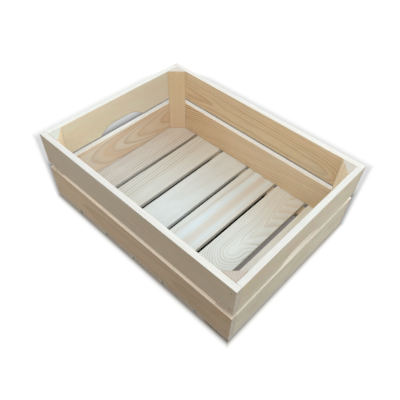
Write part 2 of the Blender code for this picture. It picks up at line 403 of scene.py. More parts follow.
def ticks(length, radius, step, spots=(), marks=()):
    """Grid lines along one side of a board: close at the rounded arrises and round each nail."""
    fixed = [0.0, radius * 0.4, radius, length - radius, length - radius * 0.4, length]
    fixed += [m for m in marks if 2 * radius < m < length - 2 * radius]
    for spot in spots:
        for off in (0.0, 0.6, 1.12, 1.25, 1.9, 3.1):
            fixed += [spot - off, spot + off]
    fixed = sorted(set(round(x, 4) for x in fixed if 0 <= x <= length))
    kept = [fixed[0]]
    for x in fixed[1:]:
        if x - kept[-1] > 0.05:
            kept.append(x)
    kept[-1] = length
    lines = []
    for a, b in zip(kept, kept[1:]):
        n = max(1, math.ceil((b - a) / step - 1e-6))
        lines += [a + (b - a) * i / n for i in range(n)]
    return np.array(lines + [length])


def box_grid(u_lines, v_lines, w_lines):
    """The surface of a box as one closed grid of quads."""
    nu, nv, nw = len(u_lines), len(v_lines), len(w_lines)
    i, j, k = np.indices((nu, nv, nw))
    shell = (i == 0) | (i == nu - 1) | (j == 0) | (j == nv - 1) | (k == 0) | (k == nw - 1)
    index = -np.ones((nu, nv, nw), int)
    index[shell] = np.arange(shell.sum())
    points = np.stack([u_lines[i[shell]], v_lines[j[shell]], w_lines[k[shell]]], 1)

    def quads(a, flip):
        q = np.stack([a[:-1, :-1], a[1:, :-1], a[1:, 1:], a[:-1, 1:]], -1).reshape(-1, 4)
        return q[:, ::-1] if flip else q

    faces = np.concatenate(
        [
            quads(index[:, :, 0], True),
            quads(index[:, :, -1], False),
            quads(index[:, 0, :].T, True),
            quads(index[:, -1, :].T, False),
            quads(index[0, :, :], True),
            quads(index[-1, :, :], False),
        ]
    )
    return points, faces


def nails_in(node, along, across, depth_axis, origin, size):
    """Where nail heads sit in a board, as (u, v, on the far face) in its own millimetres."""
    found = []
    for name in frame["nodes"]:
        if "_nail_" not in name:
            continue
        lo, hi = (np.array(x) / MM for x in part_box(name))
        axis = int(np.argmax(hi - lo))
        if axis != int(np.argmax(np.abs(depth_axis))):
            continue
        for at in (lo[axis], hi[axis]):
            point = (lo + hi) / 2
            point[axis] = at
            local = np.array(
                [(point - origin) @ along, (point - origin) @ across, (point - origin) @ depth_axis]
            )
            if not (0 < local[0] < size[0] and 0 < local[1] < size[1]):
                continue
            if 0 < local[2] < 0.6:
                found.append((local[0], local[1], False))
            elif 0 < size[2] - local[2] < 0.6:
                found.append((local[0], local[1], True))
    return found


def board(node, slot, along, across, depth_axis, figure, material, step=2.6, radius=0.5, arch=None, seed=1, nicks=5, stretch=0.0, burnt=None, lines=None, joint=0.5):
    """One sawn and planed board in the place of its CAD node. along, across and depth_axis are unit vectors, and depth starts at the face that is seen most."""
    lo, hi = (np.array(x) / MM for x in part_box(node))
    axes = [np.array(a, float) for a in (along, across, depth_axis)]
    lo, hi = lo - stretch * np.abs(axes[0]), hi + stretch * np.abs(axes[0])
    size = np.array([abs((hi - lo) @ a) for a in axes])
    origin = np.array(
        [
            lo[n] if sum(a[n] for a in axes) > 0 else hi[n]
            for n in range(3)
        ]
    )
    nails = nails_in(node, *axes, origin, size)
    arch_marks = []
    if arch:
        centre, half, rise, flat_half = arch
        centre += stretch
        arch_marks = [
            centre + side * d
            for side in (-1, 1)
            for d in (half, half - 0.5, half - 1.2, half - 2.0, flat_half)
        ]
    u_lines = ticks(size[0], radius, step, sorted({round(n[0], 2) for n in nails}), arch_marks)
    v_lines = ticks(size[1], radius, step * 0.85, sorted({round(n[1], 2) for n in nails}))
    w_lines = ticks(size[2], radius, step)
    flat, faces = box_grid(u_lines, v_lines, w_lines)

    # How far each point is from the nearest arris, and from the board's ends.
    gaps = np.minimum(flat, size - flat)
    arris = np.exp(-np.sort(gaps, axis=1)[:, 1] / 1.1)
    ends = np.clip(1 - gaps[:, 0] / (0.55 * radius), 0, 1)
    # Painted highlight: the top edge of an upright board is marked to be painted paler, as if lit from above.
    top = np.clip(1 - (size[1] - flat[:, 1]) / (0.6 * radius), 0, 1) * (across[2] > 0)

    # On the back lower board the painted highlight fades towards the inner arris.
    if node == "back_lower_board":
        top = top * (0.5 + 0.5 * smooth(flat[:, 2] / 1.8))

    # Rounded arrises, whose radius varies, with a few nicks.
    r = radius * (0.95 + 0.28 * ripple(flat, (60, 30, 12), seed) + 0.16 * ripple(flat, (9, 9, 9), seed + 1))
    rng = np.random.default_rng(seed + 40)
    for _ in range(nicks):
        where = np.array(
            [
                rng.uniform(0.03, 0.97) * size[0],
                rng.choice([0, size[1]]),
                rng.choice([0, size[2]]),
            ]
        )
        away = (flat - where) / np.array([rng.uniform(2.0, 6.0), 1.6, 1.6])
        r = r + rng.uniform(0.3, 0.8) * np.exp(-(away**2).sum(1))
    r = np.clip(r, 0.22, 1.9)
    r = (r * (0.2 + 0.8 * smooth((gaps[:, 0] - joint) / 5.0)))[:, None]
    core = np.clip(flat, r, size - r)
    out = flat - core
    length = np.linalg.norm(out, axis=1)[:, None]
    out = out / np.maximum(length, 1e-9)
    points = core + out * r

    # Planing leaves the faces a little uneven, and the saw leaves the ends rough.
    uneven = 0.5 + 0.5 * ripple(flat, (140, 60, 60), seed + 2) / 1.6
    points -= out * (0.16 * np.clip(uneven, 0, 1) * smooth(gaps.max(1) / 8.0))[:, None]
    sawn = 0.5 + 0.5 * ripple(flat, (50, 3.2, 5.5), seed + 3) / 1.6
    points[:, 0] += np.where(flat[:, 0] < size[0] / 2, 1, -1) * 0.22 * np.clip(sawn, 0, 1) * (gaps[:, 0] < 0.01)

    # Each nail head sits in a small round pit.
    for nu, nv, far in nails:
        face = np.abs(flat[:, 2] - (size[2] if far else 0.0)) < 1e-6
        du, dv = flat[:, 0] - nu, flat[:, 1] - nv
        m = np.maximum(np.abs(du), np.abs(dv))
        near = face & (m < 3.05)
        round_to = np.hypot(du, dv)
        k = 1 - smooth((m - 1.3) / 1.7)
        scale = np.where(round_to > 1e-9, 1 + (m / np.maximum(round_to, 1e-9) - 1) * k, 1.0)
        points[near, 0] = nu + du[near] * scale[near]
        points[near, 1] = nv + dv[near] * scale[near]
        pit = near & (m < 1.2)
        dent = np.where(m < 1.2, 1.2, 0.14 * np.exp(-((m - 1.25) / 0.9) ** 2))
        points[near, 2] += (-1 if far else 1) * dent[near]
        points[pit, 2] = (size[2] - 1.2) if far else 1.2

    # The hand hole is an arch in the lower edge.
    if arch:
        bend = ((half - flat_half) ** 2 + rise * rise) / (2 * rise)
        away = np.maximum(np.abs(points[:, 0] - centre) - flat_half, 0)
        rise_at = np.maximum(np.sqrt(np.maximum(bend**2 - away**2, 0)) - (bend - rise), 0)
        points[:, 1] += rise_at * (1 - smooth((flat[:, 1] - 2.0) / (size[1] - 4.0)))

    ring, log, tone = figure(points[:, 0], points[:, 1], points[:, 2], size)
    world = origin + points @ np.stack(axes)
    if np.linalg.det(np.stack(axes)) < 0:
        faces = faces[:, ::-1]
    world = np.clip(world, lo, hi)
    shade_and_mark_values = burnt(flat[:, 0], flat[:, 1], flat[:, 2]) if burnt else np.zeros(len(flat))
    piece = mesh_object(
        "pine_" + node,
        world,
        faces.tolist(),
        {
            "ring": ring,
            "log": log,
            "tone": tone,
            "endgrain": ends,
            "arris": arris,
            "toprim": top,
            "burnt": shade_and_mark_values,
            "lines": lines(points[:, 0], points[:, 1]) if lines else np.ones(len(points)),
        },
        material,
    )
    return place(piece, node, slot)


def log_figure(pith_v, pith_d, spacing, side=1.0, marks=None, tone=None, shift=0.0, above=1.0, below=1.0):
    """The figure of a board sawn from a log. pith_v is the pith's place across the board and pith_d its distance from the seen face; both may change along the board, which makes flames and loops. side is 1 where the pith is outside the seen face. above and below squeeze the rings on either side of the pith, which opens the flames; tone gets u, v, the distance from the pith and the ring count."""

    def at(value, u):
        return value(u) if callable(value) else value

    def figure(u, v, w, size):
        u = u + shift
        a = v - at(pith_v, u)
        a = a * np.where(a > 0, at(above, u), at(below, u))
        b = at(pith_d, u) + side * w
        rho = np.hypot(a, b)
        count = rings(rho, marks, spacing) if marks is not None else rho / spacing
        log = np.stack([u, a, b], 1)
        return count, log, (tone(u, v, rho, count) if tone else np.zeros(len(u)))

    return figure


def late(count, sharp=0.55):
    """1 in the late wood of each ring and 0 in the early wood."""
    return smooth((np.mod(count, 1.0) - sharp) / (1 - sharp))


X, Y, Z = (1, 0, 0), (0, 1, 0), (0, 0, 1)
DOWN, LEFT = (0, 0, -1), (-1, 0, 0)
BODY = next(iter(frame["bodies"]))

# Colours of the early and the late wood, linear.
TAN = ((0.76, 0.61, 0.42), (0.50, 0.32, 0.17))
HONEY = ((0.77, 0.61, 0.42), (0.50, 0.31, 0.16))
PALE = ((0.78, 0.70, 0.55), (0.62, 0.49, 0.33))
CREAM = ((0.78, 0.74, 0.66), (0.55, 0.44, 0.33))
WHITE = ((0.79, 0.78, 0.73), (0.56, 0.48, 0.38))

# Painted light and shade, partly also the wood's own colour: how each piece's colour is tinted from one end to the
# other.
PLAIN = ((1.0, 1.0, 1.0), (1.0, 1.0, 1.0))
COLOUR_AND_LIGHT_TINTS = {
    "back_lower_board": ((1.055, 1.016, 0.964), (1.096, 1.117, 1.138)),
    "back_upper_board": ((1.039, 0.987, 0.917), (1.052, 1.004, 0.919)),
    "corner_post_back_left": ((0.935, 0.898, 0.877), (0.887, 0.848, 0.761)),
    "corner_post_back_right": ((1.41, 1.514, 1.637), (1.41, 1.514, 1.637)),
    "corner_post_front_left": ((1.10, 1.165, 1.20), (1.10, 1.165, 1.20)),
    "floor_slat_1": ((1.001, 1.101, 1.22), (0.934, 0.911, 0.894)),
    "floor_slat_2": ((1.01, 1.132, 1.235), (0.945, 0.952, 0.93)),
    "floor_slat_3": ((1.053, 1.177, 1.29), (0.954, 0.965, 0.943)),
    "floor_slat_4": ((1.089, 1.181, 1.251), (0.984, 0.971, 0.923)),
    "floor_slat_5": ((1.127, 1.247, 1.348), (1.044, 1.057, 1.017)),
    "floor_slat_6": ((1.18, 1.26, 1.33), (1.19, 1.20, 1.14)),
    "front_lower_board": ((1.007, 0.952, 0.928), (0.732, 0.673, 0.647)),
    "front_upper_board": ((0.958, 0.997, 1.094), (0.822, 0.82, 0.859)),
    "left_end_lower_board": ((1.027, 1.169, 1.412), (0.876, 0.887, 0.918)),
    "left_end_upper_board": ((0.997, 1.006, 0.978), (0.861, 0.86, 0.874)),
    "right_end_lower_board": ((0.846, 0.868, 0.865), (1.017, 1.055, 1.083)),
    "right_end_upper_board": ((0.851, 0.832, 0.804), (1.027, 1.039, 1.041)),
}


def wood(node, colours, seed, **more):
    return pine("wood_" + node, *colours, seed=seed, colour_and_light_tints=COLOUR_AND_LIGHT_TINTS.get(node, PLAIN), **more)


# ---- floor slats, seen from above: u runs from front to back, v from left to right
def flanks(width, streak=None):
    """Painted shade: the slats' sides are painted browner than their planed faces, and the more so the lower they lie
    in the gaps between the slats.
    """

    def figure(u, v, w):
        side = (v < 0.01) | (v > width - 0.01)
        brown = side * (0.05 + 0.30 * smooth(w / 9.5)) * smooth(w / 0.8)
        return np.maximum(brown, streak(u - 9.5, v) * (w < 0.5)) if streak else brown

    return figure


# The brown of the painted shade on the slats' sides, also used for the streak on slat 4.
SHADE_AND_MARK_BROWN = (0.50, 0.41, 0.31)
board(
    "floor_slat_1", "pine_cream", Y, X, DOWN,
    log_figure(lambda u: -50 - 0.02 * u, 34.0, 4.9, shift=-9.5),
    wood("floor_slat_1", CREAM, 1.3, wide=0.6, contrast=1.0, sway=0.75, shiver=0.25, cloud=0.2, warm=(0.70, 0.55, 0.42), burn=SHADE_AND_MARK_BROWN, end=(0.735, 0.62, 0.49)),
    seed=11, burnt=flanks(60.5),
)
board(
    "floor_slat_2", "pine_cream", Y, X, DOWN,
    log_figure(lambda u: -55 - 0.05 * u, 30.0, 5.2, shift=-9.5),
    wood("floor_slat_2", CREAM, 2.7, wide=0.5, contrast=0.9, sway=0.4, shiver=0.14, cloud=0.15, warm=(0.70, 0.57, 0.44), burn=SHADE_AND_MARK_BROWN, end=(0.68, 0.565, 0.455)),
    seed=12, burnt=flanks(60.0), lines=lambda u, v: 1 - 0.7 * smooth((v - 24) / 14),
)
board(
    "floor_slat_3", "pine_white", Y, X, DOWN,
    log_figure(28.0, lambda u: 60 - 0.03 * u, 8.0, shift=-9.5),
    wood("floor_slat_3", WHITE, 3.9, contrast=0.2, sway=0.5, fibre=0.08, cloud=0.1, burn=SHADE_AND_MARK_BROWN, end=(0.62, 0.51, 0.42)),
    seed=13, burnt=flanks(59.5),
)


def slat_4_tone(u, v, rho, count):
    drift = 0.014 * (u - 66)
    return (
        0.50 * bump(v, 38 - 0.4 * drift, 8.0) * through(u, [(40, 0.5), (140, 0.75), (278, 1.2)])
        + 0.30 * bump(v, 61, 4)
        - 0.50 * bump(v, 50, 4.5)
        - 0.75 * bump(v, 21.5 + drift, 6.5)
        + 0.20 * bump(v, 7 + 1.3 * drift, 2.3) * smooth((u - 150) / 60)
    )


def slat_4_streak(u, v):
    """A thin resin-grey line that gets stronger towards the back."""
    middle = 11.0 + 0.0165 * (u - 70) + 0.6 * np.sin(u / 17.0)
    return bump(v, middle, 1.25) * through(u, [(0, 0.22), (110, 0.30), (190, 0.55), (278, 0.65)])


board(
    "floor_slat_4", "pine_white", Y, X, DOWN,
    log_figure(-60.0, 30.0, 7.0, tone=slat_4_tone, shift=-9.5),
    wood("floor_slat_4", WHITE, 4.4, contrast=0.16, sway=0.2, fibre=0.08, cloud=0.1, warm=(0.72, 0.57, 0.45), pale=(0.80, 0.88, 0.92), burn=SHADE_AND_MARK_BROWN, end=(0.58, 0.48, 0.39)),
    seed=14, step=1.4, burnt=flanks(60.0, slat_4_streak),
)


def slat_5(u, v, w, size):
    """Long ovals near the front, then flames that open towards the back with a pointed tip."""
    u = u - 9.5
    a = v - through(u, [(0, 38), (60, 38), (110, 36), (150, 39), (185, 43), (230, 40), (278, 36)])
    b = w + through(
        u,
        [(0, 72), (40, 54), (60, 43), (70, 38), (82, 32.2), (94, 26.4), (102, 23.8), (112, 22.6), (122, 23.0), (145, 20.0), (165, 18.6), (183, 17.0), (207, 14.1), (226, 11.1), (245, 8.0), (263, 4.6), (278, 3)],
    )
    blunt = 3.5
    tip = np.hypot(blunt, b)
    low = np.hypot(a - blunt, b)
    oval = np.hypot(0.78 * a + blunt, b)
    flame = tip + 0.11 * a
    high = oval + (flame - oval) * smooth((u - 112) / 40)
    rho = np.where(a > 0, high, low)
    count = rho / 2.9
    tone = (
        0.34 * late(count, 0.15) * smooth((u - 130) / 60) * smooth((v - 22) / 18)
        - 0.55 * bump(u, 118, 26) * bump(v, 37, 10)
        + 0.20 * smooth((u - 170) / 80)
    )
    return count, np.stack([u, a, b], 1), tone


board(
    "floor_slat_5", "pine_white", Y, X, DOWN, slat_5,
    wood("floor_slat_5", WHITE, 5.2, wide=0.3, contrast=0.8, sway=0.24, shiver=0.14, fibre=0.09, cloud=0.1, warm=(0.72, 0.58, 0.45), burn=SHADE_AND_MARK_BROWN, end=(0.547, 0.451, 0.365)),
    seed=15, step=1.4, burnt=flanks(60.5),
    lines=lambda u, v: 1 - 0.6 * bump(u - 9.5, 130, 28) * bump(v, 38, 11) - 0.45 * smooth((u - 140) / 60) * smooth((v - 30) / 12),
)
def slat_6_marks(u, v, w):
    """Painted shade: its outer side is painted browner, more so towards the front, and its inner side darker the lower
    it lies. The front end has dark spots along its lower part.
    """
    side = (v > 61.49) * (0.55 - 0.12 * smooth(u / 260.0))
    spots = 0.5 + 0.5 * ripple(np.stack([u, v, w], 1), (8, 7, 5), 71)
    dark_spots = (u < 1.2) * smooth((v - 12) / 8) * smooth((w - 2.0 - 3.0 * (spots - 0.5)) / 3.5) * np.clip(1.5 * spots - 0.1, 0, 1)
    return np.maximum(np.maximum(side, dark_spots), 0.36 * flanks(61.5)(u, v, w) * (v < 1))


board(
    "floor_slat_6", "pine_pale", Y, X, DOWN,
    log_figure(30.0, lambda u: 50 - 0.04 * u, 6.0, shift=-9.5),
    wood("floor_slat_6", WHITE, 6.1, contrast=0.3, sway=0.4, burn=(0.20, 0.135, 0.075), end=(0.547, 0.451, 0.365)),
    seed=16, burnt=slat_6_marks,
)

# ---- long side boards: u runs from left to right, v upwards
board(
    "back_upper_board", "pine_tan", X, Z, Y,
    log_figure(
        lambda u: through(u, [(0, 20), (100, 19), (200, 18), (350, 16)]),
        lambda u: through(u, [(0, 7), (60, 10), (100, 13.2), (150, 14.2), (300, 15), (330, 16.5), (346, 19), (381, 28)]),
        4.3, shift=-9.5, marks=[3, 7.5, 13.4, 18.7, 22.5, 27, 31.5, 35.5, 40, 44],
    ),
    wood("back_upper_board", TAN, 7.7, wide=0.7, contrast=0.66, fibre=0.15, mottle=0.4, sway=0.66, shiver=0.26, cloud=0.45, reach=(75.0, 290.0)),
    joint=9.0, seed=21,
)
board(
    "back_lower_board", "pine_honey", X, Z, Y,
    log_figure(
        lambda u: through(u, [(0, -70), (60, -60), (130, -48), (200, -42), (300, -27), (381, -18)]),
        20.0, 5.0, shift=-9.5,
    ),
    wood("back_lower_board", HONEY, 8.3, wide=0.6, contrast=1.15, fibre=0.15, mottle=0.3, sway=0.75, shiver=0.28, cloud=0.45, reach=(75.0, 290.0), rim=(0.89, 0.86, 0.795), rim_share=0.95),
    lines=lambda u, v: 0.55 + 0.45 * smooth((230 - u - 1.2 * v) / 130),
    joint=9.0, seed=22,
)
board(
    "front_upper_board", "pine_tan", X, Z, Y,
    log_figure(lambda u: 100 - 0.03 * u, 40.0, 4.0, shift=-9.5),
    wood("front_upper_board", TAN, 9.9, contrast=0.55, fibre=0.16, mottle=0.8, sway=0.3, cloud=0.5, reach=(60.0, 320.0), end=(0.62, 0.57, 0.47)),
    joint=9.0, seed=23,
)
board(
    "front_lower_board", "pine_honey", X, Z, Y,
    log_figure(
        lambda u: 24 + 0.01 * u, lambda u: 50 - 0.03 * u, 6.0, shift=-9.5,
        tone=lambda u, v, rho, count: 0.55 * smooth((u - 352) / 14) * smooth((v - 34) / 14),
    ),
    wood("front_lower_board", HONEY, 10.4, contrast=0.5, fibre=0.16, mottle=0.8, sway=0.4, cloud=0.5, reach=(60.0, 320.0), end=(0.62, 0.56, 0.46), rim=(0.80, 0.70, 0.57), rim_share=0.8),
    joint=9.0, seed=24,
)

# ---- end boards: u runs from front to back, v upwards
ARCH = (138.7, 47.5, 13.8, 14.0)  # middle, half chord, rise, half crown


def arch_edge_shade(inside, strength=0.8):
    """Painted shade: a dark line along the arch's arris, on the crate's inside or outside."""

    def figure(u, v, w):
        u = np.abs(u - ARCH[0])
        depth = w if inside else 9.5 - w
        return strength * (1 - smooth((u - ARCH[1] + 1.0) / 3.0)) * np.exp(-((v / 2.1) ** 4)) * (1 - smooth((depth - 0.2) / 1.5))

    return figure


board(
    "left_end_upper_board", "pine_pale", Y, Z, LEFT,
    log_figure(lambda u: -60 - 0.05 * u, 60.0, 5.0),
    wood("left_end_upper_board", PALE, 11.6, contrast=0.07, sway=0.3, fibre=0.05, cloud=0.6, mottle=0.5, reach=(62.0, 222.0), rim=(0.835, 0.84, 0.80)),
    arch=ARCH, seed=31, stretch=0.25, burnt=arch_edge_shade(True, 0.35),
)


def left_lower_tone(u, v, rho, count):
    return (
        0.75 * bump(rho, 45.2, 0.75)
        + 0.35 * bump(rho, 41.0, 0.7)
        + 0.55 * bump(rho, 37.3, 1.1)
        + 0.55 * smooth((v - 50) / 6) * (1 - smooth((u - 70) / 40))
        + 0.45 * smooth((12 - v) / 10) * (1 - smooth((u - 90) / 60))
        - 0.10 * bump(rho, 42.9, 1.3)
    )


board(
    "left_end_lower_board", "pine_honey", Y, Z, LEFT,
    log_figure(
        lambda u: through(u, [(0, 33), (60, 34), (100, 31), (168, 30), (278, 30)]),
        lambda u: 47 - 0.052 * (u - 60), 3.4,
        marks=[33, 36.2, 38.3, 41.35, 43.0, 44.5, 47.0, 50.0, 53.0, 56.5],
        above=lambda u: through(u, [(50, 0.5), (90, 0.6), (168, 0.85), (278, 0.8)]),
        below=lambda u: through(u, [(50, 0.42), (90, 0.5), (168, 0.66), (278, 0.66)]),
        tone=left_lower_tone,
    ),
    wood("left_end_lower_board", HONEY, 12.2, contrast=0.8, sway=0.26, shiver=0.13, cloud=0.3, warm=(0.72, 0.47, 0.27), reach=(87.0, 220.0), rim=(0.93, 0.92, 0.87), rim_share=0.95),
    seed=32, stretch=0.25, step=1.6,
    lines=lambda u, v: 0.6 + 0.4 * smooth((u - 90) / 60),
)
board(
    "right_end_upper_board", "pine_pale", Y, Z, LEFT,
    log_figure(lambda u: 90 + 0.04 * u, 50.0, 4.2),
    wood("right_end_upper_board", PALE, 13.8, contrast=0.6, fibre=0.18, mottle=1.0, sway=0.4, cloud=0.6, reach=(46.0, 232.0), rim=(0.755, 0.76, 0.73)),
    arch=ARCH, seed=33, stretch=0.25, burnt=arch_edge_shade(False),
)
board(
    "right_end_lower_board", "pine_honey", Y, Z, LEFT,
    log_figure(lambda u: 26 + 0.02 * u, lambda u: 46 - 0.05 * u, 5.0),
    wood("right_end_lower_board", PALE, 14.5, contrast=0.65, fibre=0.18, mottle=1.0, sway=0.4, cloud=0.6, reach=(46.0, 232.0), rim=(0.80, 0.74, 0.63), rim_share=0.8),
    seed=34, stretch=0.25,
)

# ---- runners under the floor
for n, node in enumerate(("front_runner", "back_runner")):
    board(
        node, "pine_runner", X, Y, DOWN,
        log_figure(60.0 + 9 * n, 30.0, 3.2),
        wood(node, TAN, 15.1 + n, contrast=0.5),
        seed=41 + n,
    )


# ---- corner posts, three-sided
def post(node, slot, material, pith, spacing, seed):
    lo, hi = (np.array(x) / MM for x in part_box(node))
    cx, cy = (lo + hi)[:2] / 2
    sx, sy = (1 if cx > 0 else -1), (1 if cy > 0 else -1)
    corner = np.array([hi[0] if sx > 0 else lo[0], hi[1] if sy > 0 else lo[1]])
    leg = hi[0] - lo[0]
    bm = bmesh.new()
    ring = [corner, corner - (sx * leg, 0), corner - (0, sy * leg)]
    low = [bm.verts.new((*p, lo[2])) for p in ring]
    high = [bm.verts.new((*p, hi[2])) for p in ring]
    bm.faces.new(low)
    bm.faces.new(high)
    for i in range(3):
        j = (i + 1) % 3
        bm.faces.new((low[i], low[j], high[j], high[i]))
    bmesh.ops.recalc_face_normals(bm, faces=bm.faces)
    bmesh.ops.bevel(
        bm, geom=list(bm.edges), offset=0.4, segments=2, profile=0.5, affect="EDGES"
    )

    def cut(points, normal):
        for p in points:
            bmesh.ops.bisect_plane(
                bm, geom=bm.verts[:] + bm.edges[:] + bm.faces[:], dist=1e-5,
                plane_co=p, plane_no=normal,
            )

    cut([(0, 0, z) for z in np.arange(lo[2] + 3, hi[2] - 2, 3.2)], (0, 0, 1))
    cut([(x, 0, 0) for x in np.arange(lo[0] + 2, hi[0] - 1, 2.1)], (1, 0, 0))
    cut([(0, y, 0) for y in np.arange(lo[1] + 2, hi[1] - 1, 2.1)], (0, 1, 0))
    bmesh.ops.recalc_face_normals(bm, faces=bm.faces)
    bm.verts.index_update()
    points = np.array([v.co for v in bm.verts])
    faces = [[v.index for v in f.verts] for f in bm.faces]
    sharp = [
        tuple(sorted(v.index for v in e.verts))
        for e in bm.edges
        if e.calc_face_angle(0) > math.radians(35)
    ]
    bm.free()
    ends_gap = np.minimum(points[:, 2] - lo[2], hi[2] - points[:, 2])
    # A sawn end is a little uneven.
    rough = np.clip(0.5 + 0.5 * ripple(points, (4, 4, 40), seed) / 1.6, 0, 1)
    points[:, 2] += np.where(points[:, 2] > 80, -1, 1) * 0.2 * rough * (ends_gap < 0.02)
    px, py = corner + np.array(pith) * (-sx, -sy)
    lean = 0.02 * (points[:, 2] - 80)
    a, b = points[:, 0] - px - lean, points[:, 1] - py
    rho = np.hypot(a, b)
    hyp = np.abs(sx * (corner[0] - points[:, 0]) + sy * (corner[1] - points[:, 1]) - leg)
    piece = mesh_object(
        "pine_" + node,
        np.clip(points, lo, hi),
        faces,
        {
            "ring": rho / spacing,
            "log": np.stack([points[:, 2], a, b], 1),
            "tone": np.zeros(len(points)),
            "endgrain": np.clip(1 - ends_gap / 0.4, 0, 1),
            "arris": 0.6 * np.exp(-hyp / 0.8) * np.exp(-ends_gap / 1.0),
            "toprim": np.zeros(len(points)),
            "burnt": np.zeros(len(points)),
            "lines": np.ones(len(points)),
        },
        material,
    )
    edges = {tuple(sorted(e.vertices)): e.index for e in piece.data.edges}
    layer = piece.data.attributes.new("sharp_edge", "BOOLEAN", "EDGE")
    for key in sharp:
        if key in edges:
            layer.data[edges[key]].value = True
    return place(piece, node, slot)


for n, (node, pith, spacing, end) in enumerate(
    (
        ("corner_post_front_right", (40.0, -40.0), 3.7, (0.604, 0.552, 0.488)),
        ("corner_post_front_left", (60.0, 30.0), 3.4, (0.81, 0.86, 0.785)),
        ("corner_post_back_left", (-40.0, 50.0), 2.8, (0.80, 0.76, 0.70)),
        ("corner_post_back_right", (46.0, 60.0), 3.0, (0.655, 0.645, 0.585)),
    )
):
    post(
        node, "pine_post",
        wood(node, TAN, 17.3 + 1.7 * n, contrast=0.5, sway=0.15, cloud=0.3, end=end, reach=(52.0, 112.0)),
        pith, spacing, 50 + n,
    )


# ---- nails
STEEL = steel("nail_steel")
SIDES = 20


def nail(node):
    """A wire nail: a flat head with eased edges, a round shank and a tapered round point, all inside its CAD box."""
    lo, hi = (np.array(x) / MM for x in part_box(node))
    axis = int(np.argmax(hi - lo))
    length = (hi - lo)[axis]
    head = min((hi - lo)[n] for n in range(3) if n != axis) / 2
    centre = (lo + hi) / 2
    # The head is at the end nearer to the outside of the crate; floor nails point up.
    if axis == 2:
        head_at, point_to = lo[2], 1.0
    elif centre[axis] > 0:
        head_at, point_to = hi[axis], -1.0
    else:
        head_at, point_to = lo[axis], 1.0
    shank = 0.7
    profile = [
        (0.0, 0.0), (head * 0.55, 0.02), (head * 0.86, 0.05), (head * 0.97, 0.12), (head, 0.24),
        (head, 0.66), (head * 0.9, 0.8), (shank + 0.08, 0.88), (shank, 1.05),
        (shank, 1.6), (shank * 0.97, 1.7), (shank, 1.8), (shank, 2.4), (shank * 0.97, 2.5), (shank, 2.6),
        (shank, length - 3.0), (shank * 0.72, length - 1.9), (shank * 0.34, length - 0.8), (0.06, length - 0.1),
    ]
    points, faces = [], []
    for r, d in profile:
        for s in range(SIDES):
            angle = 2 * math.pi * s / SIDES
            points.append((r * math.cos(angle), r * math.sin(angle), d))
    tip = len(points)
    points.append((0, 0, length))
    top = len(points)
    points.append((0, 0, 0.0))
    for ring in range(1, len(profile) - 1):
        for s in range(SIDES):
            t = (s + 1) % SIDES
            faces.append([ring * SIDES + s, ring * SIDES + t, (ring + 1) * SIDES + t, (ring + 1) * SIDES + s])
    last = (len(profile) - 1) * SIDES
    for s in range(SIDES):
        t = (s + 1) % SIDES
        faces.append([last + s, last + t, tip])
        faces.append([SIDES + t, SIDES + s, top])
    used = sorted({i for f in faces for i in f})
    again = {old: new for new, old in enumerate(used)}
    points = np.array(points)[used]
    faces = [[again[i] for i in f] for f in faces]
    others = [n for n in range(3) if n != axis]
    world = np.zeros((len(points), 3))
    world[:, others[0]] = centre[others[0]] + points[:, 0]
    world[:, others[1]] = centre[others[1]] + points[:, 1]
    world[:, axis] = head_at + point_to * points[:, 2]
    frame_axes = np.zeros((3, 3))
    frame_axes[0, others[0]] = frame_axes[1, others[1]] = 1
    frame_axes[2, axis] = point_to
    # The rings run the right way round for a right-handed frame that points along the nail.
    if np.linalg.det(frame_axes) < 0:
        faces = [f[::-1] for f in faces]
    piece = mesh_object("steel_" + node, np.clip(world, lo, hi), faces, {}, STEEL)
    return place(piece, node, "nail_steel")


for node in sorted(frame["nodes"]):
    if "_nail_" in node:
        nail(node)

# ---------------------------------------------------------------- stage, light and camera

floor_mesh = bpy.data.meshes.new("studio_floor")
reach = 12.0
floor_mesh.from_pydata(
    [(-reach, -reach, 0), (reach, -reach, 0), (reach, reach, 0), (-reach, reach, 0)],
    [], [(0, 1, 2, 3)],
)
floor = bpy.data.objects.new("studio_floor", floor_mesh)
floor.location.z = -0.0002
scene.collection.objects.link(floor)
t = Tree("studio_paper")
path = t.add("ShaderNodeLightPath")
seen = path.outputs["Is Camera Ray"]
split = t.add("ShaderNodeSeparateXYZ")
t.put(t.add("ShaderNodeTexCoord").outputs["Object"], split.inputs[0])
fx, fy = split.outputs[0], split.outputs[1]


def signed(ax, ay, offset):
    """The distance beyond the line ax x + ay y = offset."""
    along_y = t.math("MULTIPLY_ADD", fy, ay, -offset)
    return t.math("MULTIPLY_ADD", fx, ax, along_y)


def fade(distance, *stops):
    """How light the paper is at each distance in millimetres past a line, as (distance, level) stops."""
    lo, hi = stops[0][0], stops[-1][0]
    return t.ramp(
        t.span(distance, lo * MM, hi * MM),
        [((at - lo) / (hi - lo), level) for at, level in stops],
    )


def lighter(*levels):
    total = levels[0]
    for level in levels[1:]:
        total = t.mix(1.0, total, level, "LIGHTEN")
    return total


# Painted shade on the paper: the paper is painted dark under the crate, and a painted soft shadow lies to the left of
# the crate and behind it, and fades outwards.
past_left, past_back = signed(-1, 0, 0.2), signed(0, 1, 0.1485)
out_left = t.math("MAXIMUM", t.math("ADD", past_left, -0.060), 0.0)
out_back = t.math("MAXIMUM", t.math("ADD", past_back, -0.060), 0.0)
outwards = t.math("SQRT", t.math("ADD", t.math("MULTIPLY", out_left, out_left), t.math("MULTIPLY", out_back, out_back)))
shadow = t.mix(
    1.0,
    fade(t.math("MAXIMUM", past_left, past_back), (-2, 0.0), (4, 1.0)),
    fade(outwards, (0, 0.13), (22, 0.14), (27, 0.22), (33, 0.42), (40, 0.56), (55, 0.64), (114, 0.66), (123, 0.74), (132, 0.89), (142, 0.97), (155, 1.0)),
    "DARKEN",
)


